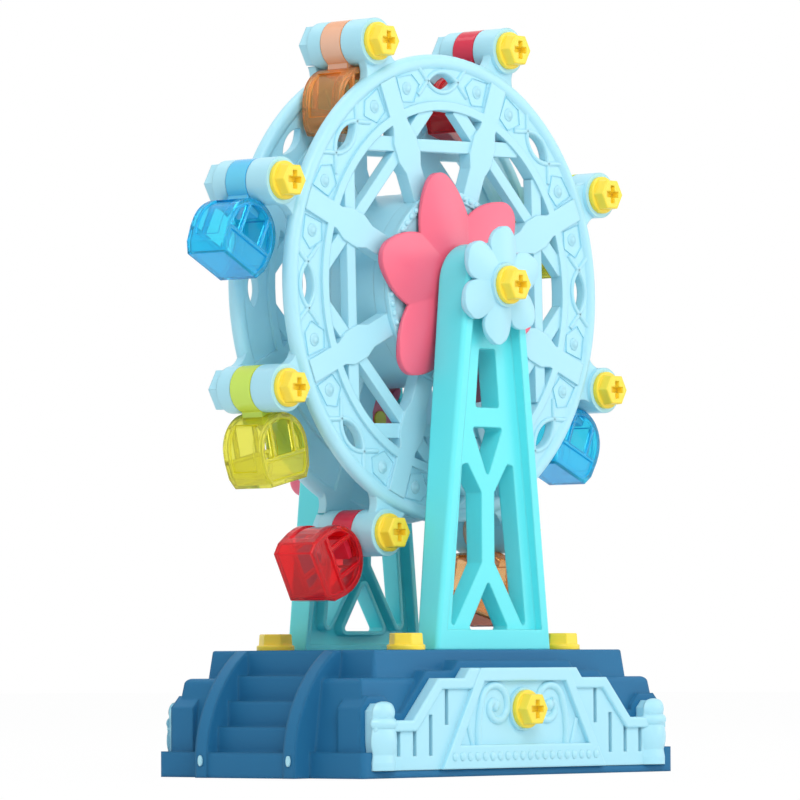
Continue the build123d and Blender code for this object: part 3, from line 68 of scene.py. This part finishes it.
# Sizes of the railing's ornament, millimetres and degrees; x is from the bolt, y from the railing's foot
FENCE_FOOT = 3.0
ARCH_RELIEF = 2.3
FOOT_BAR_Y = 8.6
SCROLL_X, SCROLL_LEAN, SCROLL_R, SCROLL_FLAT = 27.0, 82, 1.6, 0.9
SCROLL_ARCS = ((38.0, 30), (8.0, 160), (6.0, 130), (3.6, 120))
CURL_R, CURL_H, CURL_X, CURL_Y = 2.5, 1.7, -1.2, -1.6
STRUT_X, STRUT_LEAN, STRUT_R, STRUT_FLAT = 30.4, 70, 1.1, 0.8
STRUT_ARCS = ((150.0, 4.4),)
FOOT_BEAD = (1.6, 1.85, 0.8)
FOOT_BEAD_Y, FOOT_BEAD_STEP, FOOT_BEADS_HALF = 4.9, 4.6, 10

# How finely round relief is cut
BEND_STEP = 9
ROD_RINGS = 10
SHARP_ANGLE = 38
MERGE = 0.000001


# ------------------------------------------------------------------ materials
def linear(hex_colour):
    """An sRGB hex value as linear RGBA."""
    channels = [int(hex_colour[i:i + 2], 16) / 255 for i in (1, 3, 5)]
    return tuple(c / 12.92 if c < 0.04045 else ((c + 0.055) / 1.055) ** 2.4 for c in channels) + (1.0,)


def add_node(tree, kind, links=(), **settings):
    """Adds a node. Settings named in_X set socket X; links are (output, socket name) pairs."""
    node = tree.nodes.new(kind)
    for key, value in settings.items():
        if key.startswith("in_"):
            node.inputs[key[3:].replace("_", " ")].default_value = value
        else:
            setattr(node, key, value)
    for output, socket in links:
        tree.links.new(output, node.inputs[socket])
    return node


def new_material(name):
    material = bpy.data.materials.new(name)
    material.use_nodes = True
    material.node_tree.nodes.clear()
    return material, material.node_tree


def moulded_abs(name, colour, shade, roughness=0.34, edge=0.35, shine=0.5):
    """Injection moulded ABS: satin tool marks, faint flow clouding, edges softened to the mould's radius.

    edge is that radius in millimetres, and shine dulls or lifts the surface's mirror light.
    """
    material, tree = new_material(name)
    place = add_node(tree, "ShaderNodeTexCoord").outputs["Object"]
    # slow colour drift of the melt, about 30 mm across
    clouds = add_node(tree, "ShaderNodeTexNoise", [(place, "Vector")], in_Scale=32.0, in_Detail=2.0)
    tint = add_node(tree, "ShaderNodeMix", data_type="RGBA")
    tint.inputs[6].default_value = linear(colour)
    tint.inputs[7].default_value = linear(shade)
    drift = add_node(tree, "ShaderNodeMapRange", [(clouds.outputs["Fac"], "Value")],
                     in_From_Min=0.35, in_From_Max=0.75, in_To_Min=0.0, in_To_Max=0.22)
    tree.links.new(drift.outputs["Result"], tint.inputs[0])
    # spark eroded tool surface, grain about 0.35 mm so that it shows
    grain = add_node(tree, "ShaderNodeTexNoise", [(place, "Vector")], in_Scale=2800.0, in_Detail=3.0)
    gloss = add_node(tree, "ShaderNodeMapRange", [(grain.outputs["Fac"], "Value")],
                     in_To_Min=roughness - 0.05, in_To_Max=roughness + 0.07)
    rounded = add_node(tree, "ShaderNodeBevel", samples=6, in_Radius=edge * MM)
    bump = add_node(tree, "ShaderNodeBump",
                    [(grain.outputs["Fac"], "Height"), (rounded.outputs[0], "Normal")],
                    in_Strength=0.05, in_Distance=0.05 * MM)
    shader = add_node(tree, "ShaderNodeBsdfPrincipled",
                      [(tint.outputs[2], "Base Color"), (gloss.outputs["Result"], "Roughness"),
                       (bump.outputs["Normal"], "Normal")],
                      in_IOR=1.53, in_Specular_IOR_Level=shine, in_Subsurface_Weight=0.12,
                      in_Subsurface_Scale=2 * MM)
    shader.inputs["Subsurface Radius"].default_value = (1.0, 1.0, 1.0)
    add_node(tree, "ShaderNodeOutputMaterial", [(shader.outputs[0], "Surface")])
    return material


def clear_styrene(name, colour, edge_and_glow_colour, clear=0.78):
    """See-through tinted polystyrene: polished mould, light passes and is tinted, edges hold the colour, and ribs
    and corners carry a painted glow.

    clear is the share of light that passes a wall.
    """
    material, tree = new_material(name)
    place = add_node(tree, "ShaderNodeTexCoord").outputs["Object"]
    # faint flow lines of the polished mould, about 6 mm apart
    ripple = add_node(tree, "ShaderNodeTexNoise", [(place, "Vector")], in_Scale=160.0, in_Detail=1.0)
    rounded = add_node(tree, "ShaderNodeBevel", samples=6, in_Radius=0.6 * MM)
    bump = add_node(tree, "ShaderNodeBump",
                    [(ripple.outputs["Fac"], "Height"), (rounded.outputs[0], "Normal")],
                    in_Strength=0.12, in_Distance=0.4 * MM)
    # walls seen edge on hold more pigment in the line of sight
    facing = add_node(tree, "ShaderNodeLayerWeight", in_Blend=0.35)
    tint = add_node(tree, "ShaderNodeMix", data_type="RGBA")
    tint.inputs[6].default_value = linear(colour)
    tint.inputs[7].default_value = linear(edge_and_glow_colour)
    tree.links.new(facing.outputs["Facing"], tint.inputs[0])
    # painted glow: ribs and corners are painted in the brighter edge colour and let less light through, standing
    # in for light that runs inside the walls and comes out there
    flat = add_node(tree, "ShaderNodeNewGeometry")
    turn = add_node(tree, "ShaderNodeVectorMath", [(rounded.outputs[0], 0), (flat.outputs["Normal"], 1)],
                    operation="DOT_PRODUCT")
    edge_glow_mask = add_node(tree, "ShaderNodeMapRange", [(turn.outputs["Value"], "Value")],
                     in_From_Min=0.90, in_From_Max=0.995, in_To_Min=1.0, in_To_Max=0.0)
    painted_edge_glow = add_node(tree, "ShaderNodeMix", [(edge_glow_mask.outputs["Result"], 0), (tint.outputs[2], 6)],
                       data_type="RGBA")
    painted_edge_glow.inputs[7].default_value = linear(edge_and_glow_colour)
    see_through = add_node(tree, "ShaderNodeMapRange", [(edge_glow_mask.outputs["Result"], "Value")],
                           in_To_Min=clear, in_To_Max=clear * 0.3)
    # real polystyrene bends light more, but then the thin walls go dark
    shader = add_node(tree, "ShaderNodeBsdfPrincipled",
                      [(painted_edge_glow.outputs[2], "Base Color"),
                       (see_through.outputs["Result"], "Transmission Weight"),
                       (bump.outputs["Normal"], "Normal")],
                      in_Roughness=0.05, in_IOR=1.28)
    add_node(tree, "ShaderNodeOutputMaterial", [(shader.outputs[0], "Surface")])
    return material


def zinc_steel():
    """Zinc plated screw steel: metallic, finely scratched."""
    material, tree = new_material("zinc plated steel")
    place = add_node(tree, "ShaderNodeTexCoord").outputs["Object"]
    scratches = add_node(tree, "ShaderNodeTexNoise", [(place, "Vector")], in_Scale=1500.0, in_Detail=4.0)
    gloss = add_node(tree, "ShaderNodeMapRange", [(scratches.outputs["Fac"], "Value")],
                     in_To_Min=0.25, in_To_Max=0.45)
    shader = add_node(tree, "ShaderNodeBsdfPrincipled", [(gloss.outputs["Result"], "Roughness")],
                      in_Base_Color=linear("#C9CCD0"), in_Metallic=1.0)
    add_node(tree, "ShaderNodeOutputMaterial", [(shader.outputs[0], "Surface")])
    return material


BLUE_ABS = moulded_abs("moulded blue ABS", "#26709C", "#206792", roughness=0.5, edge=2.2, shine=0.18)
PALE_ABS = moulded_abs("moulded pale blue ABS", "#AEE4F3", "#A2DCEC", edge=0.8)
TURQUOISE_ABS = moulded_abs("moulded turquoise ABS", "#6AEAF0", "#5EE0E8", edge=1.0)
PINK_ABS = moulded_abs("moulded pink ABS", "#FF6E88", "#FA627C", edge=1.3)
YELLOW_ABS = moulded_abs("moulded yellow ABS", "#FFE03E", "#FFD52C", edge=0.8)
WHITE_POM = moulded_abs("moulded white acetal", "#E9E7DF", "#DEDCD3", roughness=0.4, edge=0.3)
ORANGE_CLEAR = clear_styrene("tinted orange polystyrene", "#FFD498", "#FF9018")
RED_CLEAR = clear_styrene("tinted red polystyrene", "#FF4248", "#F4122A")
YELLOW_CLEAR = clear_styrene("tinted yellow polystyrene", "#F2F06C", "#F0E41E")
BLUE_CLEAR = clear_styrene("tinted blue polystyrene", "#50ECFF", "#14ACFA")
# the loops are thick and backed by the pale bosses, so they look fuller and lighter than the shells; their lighter
# colours are painted light that stands in for the pale bosses shining back through them
ORANGE_LOOP = clear_styrene("thick orange polystyrene", "#FFD4BC", "#FF9C40", clear=0.15)
RED_LOOP = clear_styrene("thick red polystyrene", "#F04460", "#E81C36", clear=0.15)
YELLOW_LOOP = clear_styrene("thick yellow polystyrene", "#D8FA78", "#E2EC34", clear=0.15)
BLUE_LOOP = clear_styrene("thick blue polystyrene", "#80E6FF", "#38BCFF", clear=0.15)
STEEL = zinc_steel()
FINISH = {
    "blue_abs": BLUE_ABS, "pale_abs": PALE_ABS, "turquoise_abs": TURQUOISE_ABS, "pink_abs": PINK_ABS,
    "yellow_abs": YELLOW_ABS, "white_pom": WHITE_POM, "steel": STEEL, "orange_clear": ORANGE_CLEAR,
    "red_clear": RED_CLEAR, "yellow_clear": YELLOW_CLEAR, "blue_clear": BLUE_CLEAR,
}
LOOP_FINISH = {
    "orange_clear": ORANGE_LOOP, "red_clear": RED_LOOP, "yellow_clear": YELLOW_LOOP, "blue_clear": BLUE_LOOP,
}
for part in frame["record"]["subparts"]:
    node, slot = part["node"], part["material_slot"]
    NODES[node].data.materials.clear()
    NODES[node].data.materials.append(LOOP_FINISH[slot] if node.startswith("hanger_") else FINISH[slot])


# ------------------------------------------------------------------ relief drawn flat, then stood up
def verts_of(result):
    return [item for item in result["geom"] if isinstance(item, bmesh.types.BMVert)]


def stand_up(face_y, foot_z, facing):
    """Matrix from the flat drawing in millimetres to a face at face_y that looks along facing * Y."""
    return Matrix((
        (MM * -facing, 0, 0, 0),
        (0, 0, MM * facing, face_y),
        (0, MM, 0, foot_z),
        (0, 0, 0, 1),
    ))


def add_piece(name, bm, placing, slot, body):
    """Turns a drawing into a shaded piece in its finish that moves with a body."""
    bmesh.ops.transform(bm, matrix=placing, verts=bm.verts)
    bmesh.ops.remove_doubles(bm, verts=bm.verts, dist=MERGE)
    bmesh.ops.recalc_face_normals(bm, faces=bm.faces)
    mesh = bpy.data.meshes.new(name)
    bm.to_mesh(mesh)
    bm.free()
    mesh.polygons.foreach_set("use_smooth", [True] * len(mesh.polygons))
    mesh.set_sharp_from_angle(angle=math.radians(SHARP_ANGLE))
    mesh.materials.append(FINISH[slot])
    piece = bpy.data.objects.new(name, mesh)
    bpy.context.scene.collection.objects.link(piece)
    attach(piece, body)
    return piece


def raise_faces(bm, faces, height, rounding):
    """Lifts flat faces off the drawing as a block and rounds its upper edges."""
    lifted = bmesh.ops.extrude_face_region(bm, geom=faces)
    top = verts_of(lifted)
    bmesh.ops.translate(bm, vec=(0, 0, height), verts=top)
    top = set(top)
    rims = [edge for edge in bm.edges if edge.verts[0] in top and edge.verts[1] in top
            and any(not all(vert in top for vert in face.verts) for face in edge.link_faces)]
    bmesh.ops.bevel(bm, geom=rims, offset=rounding, segments=3, affect="EDGES", profile=0.5, material=-1)


def raised_line(bm, points, width, height):
    """Closed raised line round a polygon: the polygon is inset and only the border is lifted."""
    inner = bm.faces.new([bm.verts.new((x, y, 0)) for x, y in points])
    border = bmesh.ops.inset_region(bm, faces=[inner], thickness=width, use_boundary=True,
                                    use_even_offset=True)["faces"]
    bmesh.ops.delete(bm, geom=[inner], context="FACES_ONLY")
    raise_faces(bm, border, height, min(width, height) * 0.45)


def flat_dome(bm, x, y, radius, height, segments=16):
    """Shallow round button."""
    ball = bmesh.ops.create_uvsphere(bm, u_segments=segments, v_segments=segments // 2, radius=1.0)
    bmesh.ops.scale(bm, vec=(radius, radius, height), verts=ball["verts"])
    bmesh.ops.translate(bm, vec=(x, y, 0), verts=ball["verts"])


def repeat_round(bm, angles):
    """Copies all that is drawn to each angle about the axle."""
    drawn = bm.verts[:] + bm.edges[:] + bm.faces[:]
    old = bm.verts[:]
    for angle in angles:
        copy = verts_of(bmesh.ops.duplicate(bm, geom=drawn))
        bmesh.ops.rotate(bm, cent=(0, 0, 0), matrix=Matrix.Rotation(math.radians(angle), 3, "Z"), verts=copy)
    bmesh.ops.delete(bm, geom=old, context="VERTS")


def mirror_half(bm):
    """Adds the mirror image of all that is drawn, left for right."""
    bmesh.ops.mirror(bm, geom=bm.verts[:] + bm.edges[:] + bm.faces[:], merge_dist=0.0001, axis="X")


def bent_rod(bm, start, heading, radius, flat, arcs):
    """Rod laid along arcs on the drawing, half of it above the face; returns where it ends.

    start is (x, y), heading the first direction in degrees, flat the share of the radius that it rises,
    and arcs are (bend radius, degrees to the left).
    """
    ring = bmesh.ops.create_circle(bm, segments=ROD_RINGS, radius=radius)["verts"]
    bmesh.ops.rotate(bm, cent=(0, 0, 0), matrix=Matrix.Rotation(math.radians(90), 3, "Y"), verts=ring)
    bmesh.ops.scale(bm, vec=(1, 1, flat), verts=ring)
    bmesh.ops.rotate(bm, cent=(0, 0, 0), matrix=Matrix.Rotation(math.radians(heading), 3, "Z"), verts=ring)
    bmesh.ops.translate(bm, vec=(start[0], start[1], 0), verts=ring)
    ends = list({edge for vert in ring for edge in vert.link_edges})
    geom = ring + ends
    x, y, direction = start[0], start[1], heading
    for bend, turn in arcs:
        side = math.radians(direction + (90 if turn > 0 else -90))
        centre = (x + bend * math.cos(side), y + bend * math.sin(side), 0)
        steps = max(2, int(abs(turn) / BEND_STEP))
        spun = bmesh.ops.spin(bm, geom=geom, cent=centre, axis=(0, 0, 1), angle=math.radians(turn),
                              steps=steps)
        geom = spun["geom_last"]
        spin = Matrix.Rotation(math.radians(turn), 3, "Z")
        x, y, _ = spin @ (Vector((x, y, 0)) - Vector(centre)) + Vector(centre)
        direction += turn
    bmesh.ops.holes_fill(bm, edges=bm.edges, sides=ROD_RINGS)
    return x, y


# ------------------------------------------------------------------ wheel relief
def eye_ribbons(bm):
    """Half-round ribbons beside an eye window, which cross at its tips and run out over the band."""
    rise = EYE_H / 2
    window_curve = (EYE_L ** 2 / 4 + rise ** 2) / (2 * rise)
    curve = window_curve + RIBBON_GAP + RIBBON_R
    reach = math.sqrt(curve ** 2 - (window_curve - rise) ** 2)
    half_turn = math.degrees(math.asin(reach / curve))
    crossing, leaving = math.radians(half_turn), math.radians(half_turn - TAIL_TURN)
    inward = TAIL_BEND * (math.cos(leaving) - math.cos(crossing))
    end_y = reach + TAIL_BEND * (math.sin(crossing) - math.sin(leaving))
    for side in (1, -1):
        tail = (TAIL_BEND, -side * TAIL_TURN)
        along_window = (curve, side * 2 * half_turn)
        bent_rod(bm, (EYE_R - side * inward, -end_y), 90 - side * (half_turn - TAIL_TURN), RIBBON_R,
                 RIBBON_FLAT, (tail, along_window, tail))


def on_band(radius, angle, side=1):
    """A point of the band's drawing from its radius and its angle off the panel's middle."""
    return radius * math.cos(math.radians(angle)), side * radius * math.sin(math.radians(angle))


def band_relief():
    """One panel of the wheel's band: ribbons round the eye window, two framed fields and two buttons."""
    bm = bmesh.new()
    eye_ribbons(bm)
    for side in (1, -1):
        corners = [on_band(radius, angle, side) for radius, angle in FIELD_CORNERS]
        raised_line(bm, corners[::side], FRAME_W, FRAME_H)
        x, y = on_band(BUTTON_AT, BUTTON_ANGLE, side)
        flat_dome(bm, x, y, BUTTON_R, BUTTON_H)
        flat_dome(bm, x, y, BUTTON_R * BUTTON_TOP_SHARE, BUTTON_TOP_H)
    return bm


for rim, facing in (("front_rim", -1), ("rear_rim", 1)):
    relief = band_relief()
    middles = [WHEEL_PHASE + SECTOR * panel for panel in range(PANELS)]
    repeat_round(relief, middles if facing < 0 else [180 - middle for middle in middles])
    outer_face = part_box(rim)[0][1] if facing < 0 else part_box(rim)[1][1]
    add_piece(f"{rim}_band_relief", relief, stand_up(outer_face - facing * BAND_SUNK * MM, AXLE_Z, facing),
              "pale_abs", "wheel")

beads = bmesh.new()
bead = bmesh.ops.create_icosphere(beads, subdivisions=2, radius=HUB_BEAD_R)["verts"]
bmesh.ops.scale(beads, vec=(1, 1, HUB_BEAD_FLAT), verts=bead)
bmesh.ops.translate(beads, vec=(HUB_BEAD_RING_R, 0, 0), verts=bead)
repeat_round(beads, [360 / HUB_BEAD_COUNT * number for number in range(HUB_BEAD_COUNT)])
add_piece("hub_beads", beads, stand_up(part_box("hub_cap")[0][1], AXLE_Z, -1), "pale_abs", "wheel")


# ------------------------------------------------------------------ railing ornament
def railing_ornament():
    """C scrolls beside the bolt, struts against the arch and a row of beads along the foot."""
    bm = bmesh.new()
    # right scroll: up from the foot bar, over beside the bolt and round into its own curl
    end_x, end_y = bent_rod(bm, (SCROLL_X, FOOT_BAR_Y), SCROLL_LEAN, SCROLL_R, SCROLL_FLAT, SCROLL_ARCS)
    flat_dome(bm, end_x + CURL_X, end_y + CURL_Y, CURL_R, CURL_H)
    bent_rod(bm, (STRUT_X, FOOT_BAR_Y), STRUT_LEAN, STRUT_R, STRUT_FLAT, STRUT_ARCS)
    for number in range(FOOT_BEADS_HALF):
        foot_bead = bmesh.ops.create_uvsphere(bm, u_segments=12, v_segments=8, radius=1.0)["verts"]
        bmesh.ops.scale(bm, vec=FOOT_BEAD, verts=foot_bead)
        bmesh.ops.translate(bm, vec=(FOOT_BEAD_STEP * (number + 0.5), FOOT_BEAD_Y, ARCH_RELIEF),
                            verts=foot_bead)
    mirror_half(bm)
    return bm


for fence, facing in (("front_fence", -1), ("rear_fence", 1)):
    panel_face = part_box("base_body")[0][1] if facing < 0 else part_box("base_body")[1][1]
    add_piece(f"{fence}_ornament", railing_ornament(), stand_up(panel_face, FENCE_FOOT * MM, facing),
              "pale_abs", "base")


# ------------------------------------------------------------------ studio
def looked_at(tree):
    """1 for the rays that look straight at, mirror or see through to the surroundings."""
    path = add_node(tree, "ShaderNodeLightPath")
    through = add_node(tree, "ShaderNodeMath",
                       [(path.outputs["Is Camera Ray"], 0), (path.outputs["Is Transmission Ray"], 1)],
                       operation="MAXIMUM")
    seen = add_node(tree, "ShaderNodeMath", [(through.outputs[0], 0), (path.outputs["Is Glossy Ray"], 1)],
                    operation="MAXIMUM")
    return seen.outputs[0]


def soft_sky(scene):
    """A broad soft sky lights the toy, and whatever looks straight at it sees plain white."""
    world = bpy.data.worlds.new("studio")
    scene.world = world
    world.use_nodes = True
    tree = world.node_tree
    tree.nodes.clear()
    seen = looked_at(tree)
    sky = add_node(tree, "ShaderNodeBackground", in_Color=(0.95, 0.98, 1.0, 1), in_Strength=0.62)
    white = add_node(tree, "ShaderNodeBackground", in_Color=(1, 1, 1, 1), in_Strength=1.0)
    mix = add_node(tree, "ShaderNodeMixShader", [(seen, 0), (sky.outputs[0], 1), (white.outputs[0], 2)])
    add_node(tree, "ShaderNodeOutputWorld", [(mix.outputs[0], "Surface")])


def paper_sweep(scene):
    """White paper that keeps a faint shadow of the toy and otherwise melts into the white background."""
    bm = bmesh.new()
    bmesh.ops.create_grid(bm, x_segments=1, y_segments=1, size=6.0)
    floor = bpy.data.objects.new("floor", bpy.data.meshes.new("floor"))
    bm.to_mesh(floor.data)
    bm.free()
    scene.collection.objects.link(floor)
    floor.location = (0, 0, -0.2 * MM)
    material, tree = new_material("white paper sweep")
    paper = add_node(tree, "ShaderNodeBsdfDiffuse", in_Color=(0.93, 0.93, 0.93, 1))
    glow = add_node(tree, "ShaderNodeEmission", in_Color=(1, 1, 1, 1), in_Strength=1.0)
    mostly = add_node(tree, "ShaderNodeMath", [(looked_at(tree), 0)], operation="MULTIPLY")
    mostly.inputs[1].default_value = 0.97
    mix = add_node(tree, "ShaderNodeMixShader",
                   [(mostly.outputs[0], 0), (paper.outputs[0], 1), (glow.outputs[0], 2)])
    add_node(tree, "ShaderNodeOutputMaterial", [(mix.outputs[0], "Surface")])
    floor.data.materials.append(material)


def soft_boxes(scene):
    """Square lamps that face the toy: a key from the front left, a fill from the right and one above."""
    lit_point = Vector((0, 0, 0.15))
    for name, place, size, power in (
        ("key", (-0.9, -1.7, 1.6), 1.2, 24),
        ("fill", (1.6, -1.3, 0.8), 1.4, 7),
        ("top", (0.1, 0.5, 1.9), 1.4, 9),
    ):
        lamp = bpy.data.lights.new(name, "AREA")
        lamp.energy = power
        lamp.size = size
        light = bpy.data.objects.new(name, lamp)
        light.location = place
        light.rotation_euler = (lit_point - Vector(place)).to_track_quat("-Z", "Y").to_euler()
        scene.collection.objects.link(light)


def photo_camera(scene):
    """The camera as fitted to the photograph: from the front left, almost level with the base."""
    azimuth, pitch, roll = math.radians(-48.87), math.radians(2.54), math.radians(-0.3)
    distance, height = 2.45025, 0.0434
    lens_px, centre_px, frame_px = 6019.7, 417.7, 800
    camera = bpy.data.objects.new("camera", bpy.data.cameras.new("camera"))
    camera.data.sensor_width = 36
    camera.data.lens = lens_px * camera.data.sensor_width / frame_px
    camera.data.clip_end = 20
    camera.data.shift_x = (frame_px / 2 - centre_px) / frame_px
    camera.location = (math.sin(azimuth) * distance, -math.cos(azimuth) * distance, height)
    camera.rotation_euler = (Euler((math.radians(90) + pitch, 0, azimuth)).to_matrix()
                             @ Euler((0, 0, roll)).to_matrix()).to_euler()
    scene.collection.objects.link(camera)
    scene.camera = camera


def studio():
    scene = bpy.context.scene
    scene.view_settings.view_transform = "Standard"
    soft_sky(scene)
    paper_sweep(scene)
    soft_boxes(scene)
    photo_camera(scene)


studio()
